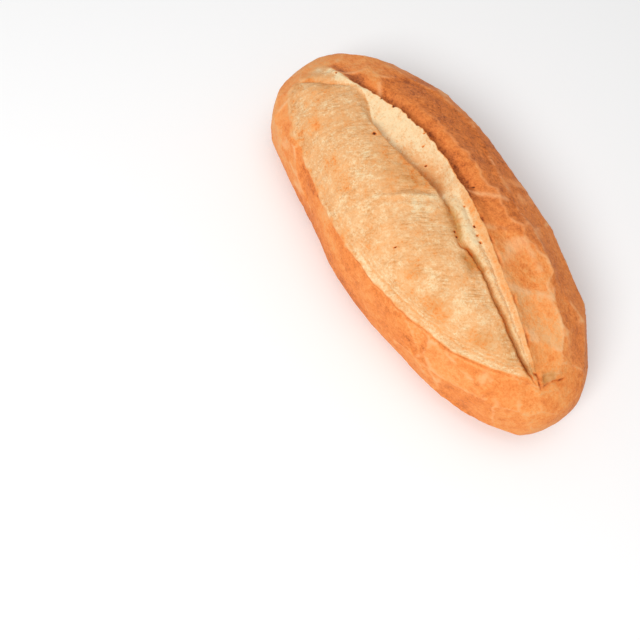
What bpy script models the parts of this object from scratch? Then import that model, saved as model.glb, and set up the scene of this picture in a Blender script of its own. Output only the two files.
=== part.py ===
"""White bread loaf, 280 mm long, with one lengthwise score that opened in the oven.

The loaf lies along X on its flat base, with the middle of the base at the origin and +Z up.
A plain flat-bottomed body comes first. Its surface is then raised and lowered along its
normals: a pale flap on the -Y side of the score, a recess beside it, a raised lip of crust,
a crease along the +Y side, and flat facets of crust all round.
"""

import math

import bmesh
import bpy
import numpy as np

MM = 0.001

# Driving dimensions
LENGTH = 280 * MM
WIDTH = 129 * MM  # of the plain body, as is the height; its facets take 2 mm off each side
HEIGHT = 76.5 * MM

# Form of the plain body
WIDEST = 0.32 * HEIGHT  # height of the loaf's widest line
PLAN_POWER = 2.17  # 2 would make the outline an ellipse
DOME_POWER = 2.4  # roundness of the top
BASE_POWER = 4.0  # roundness of the edge round the base
BASE_FLATTENING = 1.06  # how far the rounded base is pressed past the flat it stands on
RELIEF_STARTS = (0.05 * WIDEST, 0.5 * WIDEST)  # heights over which the relief fades in

# How full each long side is, as (place along the loaf from -1 to 1, factor on the half width)
NEAR_SIDE = [(-0.92, 1.20), (-0.78, 1.08), (-0.5, 0.925), (0.0, 0.955), (0.5, 0.90), (0.9, 0.86)]
FAR_SIDE = [(-0.92, 0.91), (-0.75, 1.02), (-0.5, 1.075), (0.0, 1.025), (0.5, 1.005), (0.9, 0.95)]

# Lines that run along the loaf. Each pair is a place along the length, from -1 to 1, and a
# place across it, from -1 at the -Y side to 1 at the +Y side.
SEAM = [(-0.90, -0.70), (-0.77, -0.77), (-0.65, -0.84), (-0.50, -0.89), (-0.32, -0.92),
        (0.06, -0.90), (0.28, -0.885), (0.46, -0.85), (0.60, -0.78), (0.73, -0.60), (0.81, -0.38)]
GROOVE = [(-0.90, -0.62), (-0.84, -0.56), (-0.76, -0.34), (-0.65, -0.07), (-0.57, 0.0),
          (-0.44, -0.11), (-0.29, -0.12), (-0.14, -0.06), (0.04, -0.01), (0.12, -0.03),
          (0.24, -0.125), (0.33, -0.10), (0.55, -0.195), (0.69, -0.28), (0.82, -0.335)]
LIP = [(-0.90, -0.12), (-0.81, -0.04), (-0.63, 0.03), (-0.50, 0.08), (-0.29, 0.18),
       (-0.08, 0.185), (0.16, 0.145), (0.36, 0.06), (0.59, -0.07), (0.81, -0.256)]
CREASE = [(-0.60, 0.46), (-0.42, 0.41), (-0.27, 0.40), (-0.11, 0.41), (0.04, 0.42), (0.12, 0.455),
          (0.24, 0.405), (0.33, 0.445), (0.47, 0.524), (0.62, 0.37), (0.73, 0.43), (0.80, 0.40)]

# Middles of the crust's main facets, as places along and across. Others lie between them by
# chance, at least one spacing away from every one before.
FACETS = [
    (-0.55, 0.34), (-0.34, 0.38), (-0.05, 0.36), (0.13, 0.33), (0.28, 0.26), (0.41, 0.33),
    (0.48, 0.08), (0.62, 0.19), (0.72, 0.21), (0.80, -0.01), (-0.27, 0.63), (-0.11, 0.68),
    (0.02, 0.67), (0.20, 0.70), (0.35, 0.74), (0.51, 0.75), (0.63, 0.59), (0.76, 0.50),
    (0.90, 0.39), (0.93, -0.06), (0.88, -0.61), (0.96, -0.67), (0.80, -0.76), (-0.80, -0.91),
    (-0.66, -0.99), (-0.53, -0.97), (-0.39, -0.97), (-0.23, -0.97), (0.30, -0.97), (0.38, -0.94),
    (0.45, -0.92), (0.54, -0.89), (0.61, -0.88), (0.67, -0.99), (0.71, -0.84), (-0.94, -0.57),
    (-0.80, 0.23), (-0.66, 0.35), (-0.89, -0.99),
]
FACET_SPACING = 16 * MM
FACET_SEED = 11
FACET_TRIES = 5000
FACET_TILT = 0.06  # spread of the facets' slopes against the plain body's
FACET_SOFTNESS = 0.15 * MM  # rounding of the ridges where facets meet
FACET_SINK = 0.8 * MM  # how far the facets lie below the body's tangent planes
FACET_LIMITS = (-2 * MM, 3 * MM)
FACETS_AT_TIPS = 0.3  # share of the facets' relief that is left at the loaf's rounded tips
TIPS = (0.74, 0.96)  # stretch along the loaf over which the facets fade to that share

# Relief, as (height along the surface's normal, width along the surface)
SEAM_RIDGE = (0.9 * MM, 2.2 * MM)
SEAM_VALLEY = (1.4 * MM, 5.0 * MM)
LIP_RIDGE = (2.7 * MM, 3.0 * MM)
LIP_BAND = (2.6 * MM, 5.0 * MM)  # hollow in the crust just behind the lip
CREASE_RIDGE = (2.1 * MM, 11.0 * MM)
TEAR = (2.0 * MM, 4.0 * MM)
TEAR_PLACE = (0.852, -0.15)  # along and across, as on the lines above
FLAP_RISE = 2.2 * MM
FLAP_LEAN = 1.3  # above 1, the flap is highest on the side of the recess
FLAP_EDGE = 3.0 * MM  # width over which the flap falls into the recess
RECESS_DEPTH = 6.0 * MM
GROOVE_DEPTH = 4.0 * MM  # of the recess's narrow stretch, towards +X
RECESS_SLOPE = 1.6  # 1 would make the recess's floor rise evenly to the lip
SHUT_SHARE = 0.2  # of the recess's depth, where the score is still shut at the -X end

# Stretches along the loaf, from -1 to 1, over which a form grows from nothing to full size
SCORE_START = (-0.90, -0.78)
SCORE_END = (0.86, 0.76)
RECESS_OPENS = (-0.62, -0.36)
RECESS_NARROWS = (-0.02, 0.16)
CREASE_START = (-0.60, -0.10)
CREASE_END = (0.86, 0.70)

# Mesh: rings along the loaf, columns round it. One column follows each line above, and
# near the ends, where those lines meet, these columns spread out to even angles again.
RINGS = 80
COLUMNS = 68
KEY_COLUMNS = [0, 10, 25, 34, 42, 51, COLUMNS]  # -Y side, the four lines, +Y side, and round
EVEN_ANGLES = [-52, -22, 4, 35]
SPREAD_FROM = (0.78, 0.95)

CRUST_COLOUR = (0.62, 0.27, 0.09, 1.0)
CRUST_ROUGHNESS = 0.62


def clear_scene():
    for item in list(bpy.data.objects):
        bpy.data.objects.remove(item)


def smooth_step(start, end, value):
    """0 before start, 1 past end, and a smooth rise between. The end may be the lower one."""
    part = np.clip((value - start) / (end - start), 0, 1)
    return part * part * (3 - 2 * part)


def bump(height, width, distance):
    """A smooth ridge of this height, that has died away at about 1.5 widths to each side."""
    return height * np.exp(-(distance / width) ** 2)


def along(line, station):
    """Reads a line of (place, value) pairs at any stations, as one smooth curve."""
    knots, values = np.array(line).T
    slopes = np.gradient(values, knots)
    i = np.clip(np.searchsorted(knots, station) - 1, 0, len(knots) - 2)
    span = knots[i + 1] - knots[i]
    part = np.clip((station - knots[i]) / span, 0, 1)
    ease = part * part * (3 - 2 * part)
    start = part * (1 - part) ** 2 * slopes[i]
    end = part * part * (part - 1) * slopes[i + 1]
    return values[i] + ease * (values[i + 1] - values[i]) + span * (start + end)


# Plain body ------------------------------------------------------------------------------


def line_angles(station):
    """Angles round the section of the seam, groove, lip and crease: 0 is the top."""
    return [math.asin(along(line, station)) for line in (SEAM, GROOVE, LIP, CREASE)]


def ring_angles(station):
    """Angle round the section for each column: -90 degrees is the -Y side."""
    spread = smooth_step(*SPREAD_FROM, abs(station))
    lines = (1 - spread) * np.array(line_angles(station)) + spread * np.radians(EVEN_ANGLES)
    angles = [-math.pi / 2, *lines, math.pi / 2, 3 * math.pi / 2]
    return np.interp(np.arange(COLUMNS), KEY_COLUMNS, angles)


def side_reach(station, across):
    """Distance from the middle line to the -Y side, or to the +Y side where across > 0."""
    plan = np.maximum(1 - abs(station) ** PLAN_POWER, 0)
    fullness = np.where(across > 0, along(FAR_SIDE, station), along(NEAR_SIDE, station))
    return WIDTH / 2 * plan ** (1 / PLAN_POWER) * fullness


def plain_body(station, angle):
    """Points of the body before its relief, for arrays of stations and section angles."""
    across = np.sin(angle)
    plan = np.maximum(1 - abs(station) ** PLAN_POWER, 0)
    reach = (1 - plan * (1 - abs(across) ** PLAN_POWER)) ** (1 / PLAN_POWER)
    dome = np.maximum(1 - reach**DOME_POWER, 0) ** (1 / DOME_POWER)
    bowl = np.maximum(1 - reach**BASE_POWER, 0) ** (1 / BASE_POWER)
    top = WIDEST + (HEIGHT - WIDEST) * dome
    under = WIDEST * (1 - np.minimum(BASE_FLATTENING * bowl, 1))
    x = LENGTH / 2 * station + 0 * angle
    y = side_reach(station, across) * across
    z = np.where(np.cos(angle) > 0, top, under)
    return np.stack([x, y, z], axis=-1)


def outward(station, angle):
    """Unit normals of the plain body, along X at its two tips."""
    step = 1e-3
    inner = np.clip(station, step - 1, 1 - step)
    round_it = plain_body(inner, angle + step) - plain_body(inner, angle - step)
    along_it = plain_body(inner + step, angle) - plain_body(inner - step, angle)
    normal = np.cross(along_it, round_it)
    normal /= np.linalg.norm(normal, axis=-1, keepdims=True)
    at_tip = (abs(station) == 1)[..., None] + np.zeros_like(normal)
    return np.where(at_tip, np.sign(station)[..., None] * np.array([1.0, 0, 0]), normal)


def even_stations():
    """Stations whose rings are equally far apart along the widest outline of the loaf."""
    station = -np.cos(np.linspace(0, math.pi, 50 * RINGS))
    outline = plain_body(station, np.full_like(station, math.pi / 2))
    steps = np.linalg.norm(np.diff(outline, axis=0), axis=1)
    length = np.pad(np.cumsum(steps), (1, 0))
    return np.interp(np.linspace(0, length[-1], RINGS + 1), length, station)[:, None]


# Relief ----------------------------------------------------------------------------------


def girth(points):
    """Distance round each ring's section from its first column."""
    steps = np.linalg.norm(np.diff(points, axis=1), axis=2)
    return np.pad(np.cumsum(steps, axis=1), ((0, 0), (1, 0)))


def line_places(station, angle, place):
    """Distance round the section at which each line lies, as one column of values each."""
    rows = zip(station[:, 0], angle, place)
    found = np.array([np.interp(line_angles(s), angles, places) for s, angles, places in rows])
    return found.T[:, :, None]


def score_relief(station, place, seam, groove, lip):
    """Height of the flap, recess and lip. place is the distance round the section."""
    from_seam = place - seam
    from_groove = place - groove
    from_lip = place - lip

    over_flap = np.clip(from_seam / np.maximum(groove - seam, MM), 0, 1)
    flap = FLAP_RISE * np.sin(math.pi * over_flap**FLAP_LEAN)
    valley = bump(*SEAM_VALLEY, from_seam - SEAM_VALLEY[1])
    ridge = bump(*SEAM_RIDGE, from_seam)

    opened = SHUT_SHARE + (1 - SHUT_SHARE) * smooth_step(*RECESS_OPENS, station)
    narrowed = smooth_step(*RECESS_NARROWS, station)
    depth = opened * (RECESS_DEPTH + (GROOVE_DEPTH - RECESS_DEPTH) * narrowed)
    over_recess = np.clip(from_groove / np.maximum(lip - groove, MM), 0, 1)
    fallen = smooth_step(-FLAP_EDGE, 0, from_groove) * (from_lip < 0)
    recess = depth * fallen * (1 - over_recess**RECESS_SLOPE)

    lip_ridge = opened * bump(*LIP_RIDGE, from_lip)
    half_band = LIP_BAND[1] / 2
    band = bump(*LIP_BAND, from_lip - 2 * half_band) * smooth_step(0, half_band, from_lip)
    return flap - valley + ridge - recess + lip_ridge - (1 - narrowed) * band


def facet_centres():
    """Stations and angles of the facets' middles."""
    rng = np.random.default_rng(FACET_SEED)
    centres = [(station, math.asin(across)) for station, across in FACETS]
    places = [plain_body(station, angle) for station, angle in centres]
    for _ in range(FACET_TRIES):
        station = -math.cos(math.pi * rng.uniform(0.02, 0.98))
        angle = math.pi * rng.uniform(-1, 1)
        seam, _, lip, _ = line_angles(station)
        place = plain_body(station, angle)
        on_score = seam < angle < lip and SCORE_START[0] < station < SCORE_END[0]
        if not on_score and np.linalg.norm(place - places, axis=1).min() > FACET_SPACING:
            centres.append((station, angle))
            places.append(place)
    return np.array(centres).T


def facet_relief(points, normals):
    """Height of the lowest facet over each point of the plain body."""
    stations, angles = facet_centres()
    rng = np.random.default_rng(FACET_SEED)
    middles = plain_body(stations, angles)
    slopes = outward(stations, angles) + FACET_TILT * rng.normal(size=middles.shape)
    slopes /= np.linalg.norm(slopes, axis=1, keepdims=True)
    facing = normals @ slopes.T
    heights = (np.sum(middles * slopes, axis=1) - points @ slopes.T) / np.maximum(facing, 0.3)
    heights = np.where(facing > 0.4, heights, LENGTH)
    lowest = heights.min(axis=-1, keepdims=True)
    weights = np.exp((lowest - heights) / FACET_SOFTNESS)
    height = lowest[..., 0] - FACET_SOFTNESS * np.log(weights.sum(axis=-1)) - FACET_SINK
    return np.clip(height, *FACET_LIMITS)


def tear_relief(points):
    """Depth of the small tear in which the score ends."""
    tear_along, tear_across = TEAR_PLACE
    near_x = points[..., 0] - LENGTH / 2 * tear_along
    near_y = points[..., 1] - side_reach(tear_along, tear_across) * tear_across
    return bump(*TEAR, np.hypot(near_x, near_y))


def relief(station, points, angle, normals):
    """Height to add along the normal at every ring and column."""
    place = girth(points)
    seam, groove, lip, crease_line = line_places(station, angle, place)
    scored = smooth_step(*SCORE_START, station) * smooth_step(*SCORE_END, station)
    creased = smooth_step(*CREASE_START, station) * smooth_step(*CREASE_END, station)
    ridge, width = CREASE_RIDGE
    crease = ridge * np.maximum(1 - abs(place - crease_line) / width, 0)

    beside_score = smooth_step(0, width / 2, place - lip) + smooth_step(0, -width / 2, place - seam)
    faceted = scored * np.clip(beside_score, 0, 1) + 1 - scored
    faceted = faceted * (1 - (1 - FACETS_AT_TIPS) * smooth_step(*TIPS, abs(station)))

    total = scored * score_relief(station, place, seam, groove, lip) + creased * crease
    total = total + faceted * facet_relief(points, normals) - tear_relief(points)
    top = np.cos(angle) > 0
    return total * np.where(top, 1, smooth_step(*RELIEF_STARTS, points[..., 2]))


# Objects ---------------------------------------------------------------------------------


def make_loaf(collection):
    mesh = bpy.data.meshes.new("loaf")
    bm = bmesh.new()
    bmesh.ops.create_uvsphere(bm, u_segments=COLUMNS, v_segments=RINGS, radius=1)

    station = even_stations()
    angle = np.array([ring_angles(place) for place in station[:, 0]])
    plain = plain_body(station, angle)
    normals = outward(station, angle)
    points = plain + normals * relief(station, plain, angle, normals)[..., None]

    for vertex in bm.verts:
        ring = round(math.acos(max(-1, min(1, vertex.co.z))) / math.pi * RINGS)
        steps_round = math.atan2(vertex.co.y, vertex.co.x) / math.tau * COLUMNS
        column = math.floor(steps_round + 0.25) % COLUMNS  # whole or half steps, by COLUMNS
        vertex.co = points[ring, column]

    middle_x, middle_y = (0.5 * (max(c) + min(c)) for c in zip(*(v.co.xy for v in bm.verts)))
    bmesh.ops.translate(bm, vec=(-middle_x, -middle_y, 0), verts=bm.verts)
    bm.to_mesh(mesh)
    bm.free()
    mesh.shade_smooth()
    loaf = bpy.data.objects.new("loaf", mesh)
    collection.objects.link(loaf)
    mesh.materials.append(crust_material())
    return loaf


def crust_material():
    material = bpy.data.materials.new("crust")
    material.use_nodes = True
    shader = material.node_tree.nodes["Principled BSDF"]
    shader.inputs["Base Color"].default_value = CRUST_COLOUR
    shader.inputs["Roughness"].default_value = CRUST_ROUGHNESS
    shader.inputs["Metallic"].default_value = 0.0
    return material


def main():
    clear_scene()
    collection = bpy.data.collections.new("white bread loaf")
    bpy.context.scene.collection.children.link(collection)
    make_loaf(collection)


main()
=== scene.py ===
"""Looks of a white bread loaf with one lengthwise score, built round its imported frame."""
import math

import bmesh
import bpy
import numpy as np
from mathutils import Matrix, Vector, noise


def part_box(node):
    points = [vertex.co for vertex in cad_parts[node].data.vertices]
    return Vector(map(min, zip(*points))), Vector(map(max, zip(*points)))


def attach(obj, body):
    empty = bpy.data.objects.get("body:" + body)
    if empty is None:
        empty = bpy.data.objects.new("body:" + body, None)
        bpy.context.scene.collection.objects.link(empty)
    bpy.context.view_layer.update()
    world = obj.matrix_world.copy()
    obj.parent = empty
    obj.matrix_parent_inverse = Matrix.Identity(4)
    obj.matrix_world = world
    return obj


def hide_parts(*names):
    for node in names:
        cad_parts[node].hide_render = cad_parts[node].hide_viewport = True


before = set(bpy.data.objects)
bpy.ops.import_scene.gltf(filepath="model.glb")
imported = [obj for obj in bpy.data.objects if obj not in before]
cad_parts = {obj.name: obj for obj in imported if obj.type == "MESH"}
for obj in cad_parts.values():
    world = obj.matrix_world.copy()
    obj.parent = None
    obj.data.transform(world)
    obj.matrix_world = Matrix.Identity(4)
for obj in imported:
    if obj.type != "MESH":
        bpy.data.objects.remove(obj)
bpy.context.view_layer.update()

MM = 0.001
CAD_LOW, CAD_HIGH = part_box("loaf")

# The plain body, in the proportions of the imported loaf
LENGTH = 0.9985 * (CAD_HIGH.x - CAD_LOW.x)
WIDTH = 1.0287 * (CAD_HIGH.y - CAD_LOW.y)
HEIGHT = 0.970 * CAD_HIGH.z
WIDEST = 0.32 * HEIGHT
PLAN_POWER = 2.17
DOME_POWER = 2.4
BASE_POWER = 4.0
BASE_FLATTENING = 1.06

# How full each long side is: (place along the loaf from -1 to 1, factor on the half width)
NEAR_SIDE = [(-0.92, 1.20), (-0.78, 1.08), (-0.5, 0.925), (0.0, 0.955), (0.5, 0.90), (0.9, 0.86)]
FAR_SIDE = [(-0.92, 0.91), (-0.75, 1.02), (-0.5, 1.075), (0.0, 1.025), (0.5, 1.005), (0.9, 0.95)]

# Lines that run along the loaf: (place along it, place across it from -1 to 1)
SEAM = [(-0.90, -0.70), (-0.84, -0.72), (-0.77, -0.77), (-0.65, -0.84), (-0.50, -0.89),
        (-0.32, -0.92), (-0.12, -0.91), (0.06, -0.90), (0.28, -0.885), (0.46, -0.847),
        (0.60, -0.78), (0.66, -0.71), (0.73, -0.60), (0.81, -0.38)]
GROOVE = [(-0.90, -0.62), (-0.84, -0.56), (-0.76, -0.34), (-0.70, -0.20), (-0.655, -0.07),
          (-0.57, 0.0), (-0.51, -0.035), (-0.44, -0.11), (-0.37, -0.13), (-0.29, -0.12),
          (-0.14, -0.057), (0.0, -0.012), (0.07, -0.01), (0.12, -0.026), (0.18, -0.07),
          (0.24, -0.125), (0.33, -0.10), (0.39, -0.125), (0.49, -0.17), (0.55, -0.195),
          (0.61, -0.235), (0.69, -0.28), (0.75, -0.32), (0.82, -0.335)]
LIP = [(-0.90, -0.14), (-0.81, -0.09), (-0.72, -0.06), (-0.63, 0.0), (-0.57, 0.045), (-0.50, 0.085),
       (-0.37, 0.15), (-0.29, 0.183), (-0.21, 0.19), (-0.08, 0.186), (0.05, 0.173), (0.165, 0.146),
       (0.24, 0.118), (0.36, 0.06), (0.49, -0.006), (0.59, -0.07), (0.68, -0.142), (0.77, -0.221),
       (0.81, -0.256)]
CREASE = [(-0.60, 0.46), (-0.42, 0.406), (-0.27, 0.396), (-0.11, 0.41), (-0.02, 0.43),
          (0.04, 0.41), (0.10, 0.457), (0.15, 0.446), (0.21, 0.413), (0.26, 0.40), (0.29, 0.447),
          (0.33, 0.445), (0.385, 0.476), (0.42, 0.50), (0.47, 0.524), (0.54, 0.463),
          (0.59, 0.383), (0.65, 0.365), (0.695, 0.369), (0.73, 0.437), (0.76, 0.396)]

# Ridges and cuts: (height, width, change of browning with painted light and shade, places), heights and
# widths in mm
# Most ridges are painted lighter and most cuts darker, as light and shade would fall on them.
PATHS = [
    (0.9, 1.3, -0.12, [(-0.11, -0.58), (-0.07, -0.44), (-0.03, -0.30), (0.01, -0.15), (0.04, -0.05)]),
    (-0.9, 2.2, 0.08, [(-0.09, -0.34), (-0.05, -0.22), (-0.01, -0.13), (0.02, -0.08)]),
    (0.45, 1.5, -0.06, [(-0.06, -0.56), (-0.02, -0.41), (0.04, -0.24), (0.08, -0.14)]),
    (0.6, 0.8, -0.10, [(0.815, -0.23), (0.832, -0.12), (0.845, 0.03), (0.858, 0.18)]),
    (-1.2, 0.6, 0.32, [(0.868, -0.31), (0.866, -0.18), (0.870, -0.04), (0.876, 0.10), (0.884, 0.23)]),
    (-1.1, 0.6, 0.28, [(0.80, -0.29), (0.818, -0.25), (0.838, -0.26), (0.862, -0.30), (0.872, -0.35)]),
    (-1.5, 3.2, -0.24, [(0.838, -0.20), (0.850, -0.12), (0.862, -0.02), (0.868, 0.08)]),
    (0.5, 1.0, -0.12, [(0.845, -0.45), (0.862, -0.40), (0.880, -0.38), (0.893, -0.20), (0.90, 0.05)]),
    (-1.0, 0.7, 0.30, [(0.225, -0.15), (0.257, -0.16), (0.273, -0.11), (0.30, -0.10), (0.32, -0.105)]),
    (-1.8, 3.2, 0.12, [(0.27, -0.16), (0.31, -0.17), (0.35, -0.185), (0.39, -0.18)]),
    (0.8, 1.4, -0.14, [(-0.78, -0.11), (-0.74, -0.10), (-0.665, -0.06), (-0.607, -0.015), (-0.55, 0.045)]),
    # The painted shadow line under the roll at the -X end.
    (-0.7, 1.5, 0.08, [(-0.80, -0.77), (-0.810, -0.68), (-0.815, -0.59), (-0.81, -0.49), (-0.785, -0.39),
                       (-0.73, -0.25), (-0.66, -0.10), (-0.60, 0.0)]),
    (0.5, 1.0, -0.10, [(0.39, -0.985), (0.43, -0.995), (0.49, -0.998), (0.56, -0.999)]),
    (0.5, 0.9, -0.16, [(0.33, -0.90), (0.40, -0.93), (0.45, -0.965), (0.50, -0.985)]),
    (0.5, 0.9, -0.14, [(0.40, -0.865), (0.47, -0.875), (0.50, -0.90), (0.51, -0.94)]),
]

# Lighter and browner spots, some of them painted shade: (place along, place across, radius in mm, change of
# browning)
SPOTS = [
    (0.24, -0.63, 5, 0.29), (0.37, -0.66, 5, 0.21), (0.43, -0.68, 6, 0.19), (0.61, -0.53, 6, 0.10),
    (-0.59, -0.80, 3, 0.17), (-0.525, -0.65, 3, 0.18), (-0.35, -0.70, 3.5, 0.16),
    (-0.22, -0.70, 3.5, 0.16), (-0.56, -0.62, 4, 0.12), (0.05, -0.40, 3, 0.06), (-0.09, -0.77, 3, 0.10),
    # The browner spots on the flap's edge near (-0.1, -0.15) and in the recess's pocket near (-0.1, 0.03)
    # are painted shade.
    (-0.33, -0.43, 9, -0.05), (-0.15, -0.22, 7, 0.13), (-0.05, -0.12, 6, 0.14), (-0.10, -0.10, 5, 0.10),
    (-0.17, 0.02, 7, 0.14), (-0.09, 0.04, 6, 0.24), (-0.02, 0.05, 5, 0.16), (-0.25, -0.01, 5, 0.10),
    (-0.66, -0.40, 8, 0.07),
    (0.05, -0.26, 9, -0.10), (0.43, -0.47, 8, -0.06), (0.33, -0.58, 5, -0.07), (0.57, -0.41, 6, -0.07),
    (-0.23, -0.50, 7, -0.07), (-0.20, -0.76, 5, -0.07), (-0.46, -0.72, 4, -0.08), (0.31, -0.80, 5, -0.05),
    (-0.84, -0.24, 4, -0.32), (-0.78, -0.16, 4, -0.34), (-0.71, -0.12, 3.5, -0.34), (-0.87, -0.12, 3, -0.10),
    (0.73, 0.20, 10, -0.08), (0.12, 0.33, 11, 0.06), (0.34, 0.33, 13, 0.05), (-0.66, 0.10, 4, 0.12),
    (-0.70, -0.88, 7, 0.07), (-0.49, -0.935, 4.5, 0.08), (-0.375, -0.945, 6, 0.10), (0.70, 0.02, 9, -0.05),
    (0.60, -0.93, 8, 0.0), (0.44, -0.93, 5, -0.10), (-0.22, -0.955, 8, -0.14), (-0.12, -0.98, 8, -0.06),
    (0.34, -0.997, 7, 0.04),
]

# Olive-tan tints and painted shade: (place along, place across, radius in mm, strength)
# Those in the groove, the hollows, the recess's pocket and under the roll at the -X end are painted shade.
# Those on the open flap are tan patches.
SHADES = [
    (0.61, -0.53, 6, 0.55), (0.70, -0.44, 5, 0.45), (0.40, -0.64, 7, 0.30), (0.24, -0.62, 4, 0.25),
    (0.07, -0.02, 4, 0.50), (0.12, -0.06, 4, 0.55), (0.177, -0.10, 4, 0.55), (0.21, -0.115, 3, 0.60),
    (0.31, -0.165, 4.5, 0.95), (0.35, -0.175, 4, 0.75), (0.79, -0.28, 4, 0.60), (0.850, -0.14, 4, 0.9),
    (0.860, 0.0, 4, 0.8),
    (-0.04, 0.045, 6, 0.80), (-0.11, 0.02, 6, 0.55), (-0.20, -0.05, 6, 0.30), (-0.06, -0.18, 7, 0.55),
    (-0.14, -0.26, 8, 0.45), (-0.25, -0.32, 9, 0.30), (0.52, -0.26, 4, 0.35), (0.63, -0.32, 4, 0.40),
    (-0.80, -0.60, 3, 0.50), (-0.80, -0.45, 3, 0.50), (-0.76, -0.35, 4, 0.40), (-0.68, -0.28, 6, 0.30),
    (-0.45, -0.40, 12, 0.15), (0.20, -0.35, 14, 0.15),
]

# Small holes, painted dark inside as shade: (place along, place across, radius in mm)
HOLES = [(-0.353, -0.22, 1.3), (-0.208, 0.13, 0.8), (-0.132, 0.064, 0.7), (0.05, 0.295, 0.6),
         (0.121, -0.633, 0.8), (0.217, -0.539, 0.7), (0.192, -0.124, 0.9), (0.214, -0.136, 1.0),
         (0.116, 0.098, 0.8), (0.211, 0.061, 0.8), (0.249, 0.037, 0.9), (0.28, 0.024, 0.9),
         (-0.79, -0.20, 0.8), (-0.74, -0.10, 0.7), (-0.50, 0.088, 0.8), (-0.43, 0.118, 0.9),
         (-0.345, 0.158, 0.8), (-0.295, 0.178, 0.8), (-0.25, 0.185, 0.7)]

# Places along the lip where the crust behind it is torn a little: (place along, half length)
GASHES = [(0.04, 0.06), (0.20, 0.02), (0.29, 0.02), (0.37, 0.03), (0.54, 0.02), (0.68, 0.03)]

# Relief, as (height along the surface's normal, width along the surface)
SEAM_RIDGE = (0.9 * MM, 1.5 * MM)
SEAM_VALLEY = (1.3 * MM, 5.0 * MM)
SEAM_CUT = (0.5 * MM, 0.8 * MM)
LIP_RIDGE = (2.6 * MM, 2.4 * MM)
LIP_BAND = (2.6 * MM, 5.0 * MM)
LIP_STEP = (0.5 * MM, 6.0 * MM)
CREASE_RIDGE = (2.1 * MM, 11.0 * MM)
CRACK = (1.1 * MM, 0.7 * MM)
GASH = (0.9 * MM, 1.2 * MM)
POCKET = (3.5 * MM, 9.0 * MM)
ROLL = (1.1 * MM, 14.0 * MM)
ROLL_FOOT = (0.77 * MM, 1.8 * MM)
FOLDS = (0.22 * MM, 2.8 * MM)
FACET_EDGE = (0.18 * MM, 0.18 * MM)

# Middle of the pocket in the recess: (place along, place across)
POCKET_PLACE = (-0.06, 0.02)

# Widths and places beside the lines, for the forms above
LIP_SPREAD = 5.5 * MM
LIP_STEP_EDGE = 0.8 * MM
GASH_PLACE = 1.2 * MM
ROLL_EDGE = 2.0 * MM
ROLL_FOOT_PLACE = -1.6 * MM
FOLDS_REACH = (1, 6.0 * MM, 5.0 * MM)

# The flap and the recess, which gets shallow where the score closes and shallower in the crack
FLAP_RISE = 2.2 * MM
FLAP_LEAN = 1.3
RECESS_DEPTH = 6.0 * MM
GROOVE_DEPTH = 3.2 * MM
CRACK_DEPTH = 1.4 * MM
RECESS_SLOPE = 1.6
GROOVE_SLOPE = 0.7
RECESS_EDGES = (7.0 * MM, 2.0 * MM)
SOFT_EDGE = 2.5 * MM
INNER_FACE = 1.8 * MM
INNER_FACE_SHARE = 0.62
HOLE_DEPTH = 0.9 * MM

# Share of its full size that a form keeps where it is weakest
LEAST_SEAM = 0.35
LEAST_DEPTH = 0.45
LEAST_LIP = 0.2
LEAST_BAND = 0.1
LEAST_RAGGED = 0.35
LEAST_FACETS = 0.3

# Stretches along the loaf over which a form grows from nothing to full size
SCORE_START = (-0.86, -0.79)
SCORE_END = (0.86, 0.76)
RECESS_OPENS = (-0.62, -0.36)
EDGE_SHARPENS = (-0.52, -0.38)
SEAM_SHARPENS = (-0.15, 0.20)
LIP_STEADIES = (-0.15, 0.10)
FOLDS_START = (-0.5, 0.3)
CRACK_STARTS = (0.20, 0.34)
ROLL_ENDS = (-0.74, -0.58)
RECESS_CLOSES = (-0.02, 0.16)
CREASE_START = (-0.60, -0.10)
CREASE_END = (0.86, 0.70)
CRUST_WARMS = (-0.1, 0.5)
END_LIGHTENS = (0.75, 0.95)
FLOOR_SHADED = (-0.4, -0.1)
STRIP_TANS = (0.22, 0.4)

# The same from the middle towards both tips
TIPS = (0.74, 0.96)
WAVES_FADE = (0.86, 0.72)
SPREAD_FROM = (0.78, 0.95)
LINES_FADE = (0.80, 0.93)

# Edges between the parts of the surface, as distances from the line between them
SEAM_BLEND = (-1.0 * MM, 2.0 * MM)
GROOVE_BLEND = (0.3 * MM, -0.7 * MM)
LIP_BLEND = (0.3 * MM, -0.3 * MM)
FAR_BLEND = (-1.0 * MM, 1.0 * MM)
FACETS_FROM_LIP = (0, 6.0 * MM)
FACETS_FROM_SEAM = (0, -4.0 * MM)
RELIEF_FROM_BASE = (0.05 * WIDEST, 0.5 * WIDEST)

# Unevenness of the lines: (amount across the loaf, size of the waves, seed)
SEAM_WAVES = [(0.006, 12 * MM, 1), (0.004, 4 * MM, 2)]
GROOVE_WAVES = [(0.008, 9 * MM, 3), (0.006, 3 * MM, 4)]
LIP_WAVES = [(0.012, 7 * MM, 5), (0.010, 2.4 * MM, 6)]
CREASE_WAVES = [(0.025, 9 * MM, 7), (0.018, 3.5 * MM, 8)]

# Noise along the loaf and over the surface: where each seed reads it, and its character
WAVE_SEED_STEP = 7.3
WAVE_HEIGHT = 1.7
WAVE_GAIN = 1.8
CLOUD_SEED_STEP = 13.7
CLOUD_ROUGHNESS = 0.9
CLOUD_STEPS = 2.0

# Unevenness of outlines on the surface: (largest move, size of the swirls)
WARP = (2.5 * MM, 6.0 * MM)
RAGGED = (0.5 * MM, 3.5 * MM)
SWIRL_SEED = 4

# Lumps over the surface: (height, size, seed, octaves)
ROUGHNESS = [(0.45 * MM, 16 * MM, 2, 2), (0.08 * MM, 2.6 * MM, 3, 3)]
WRINKLES = (0.45 * MM, 5 * MM, 4, 3)
WRINKLES_STRETCH = (0.5, 1.8, 1)
CRUMB = (0.35 * MM, 3.5 * MM, 5, 3)
FOLDS_SWAY = (1.2 * MM, 9 * MM, 15, 2)
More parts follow.
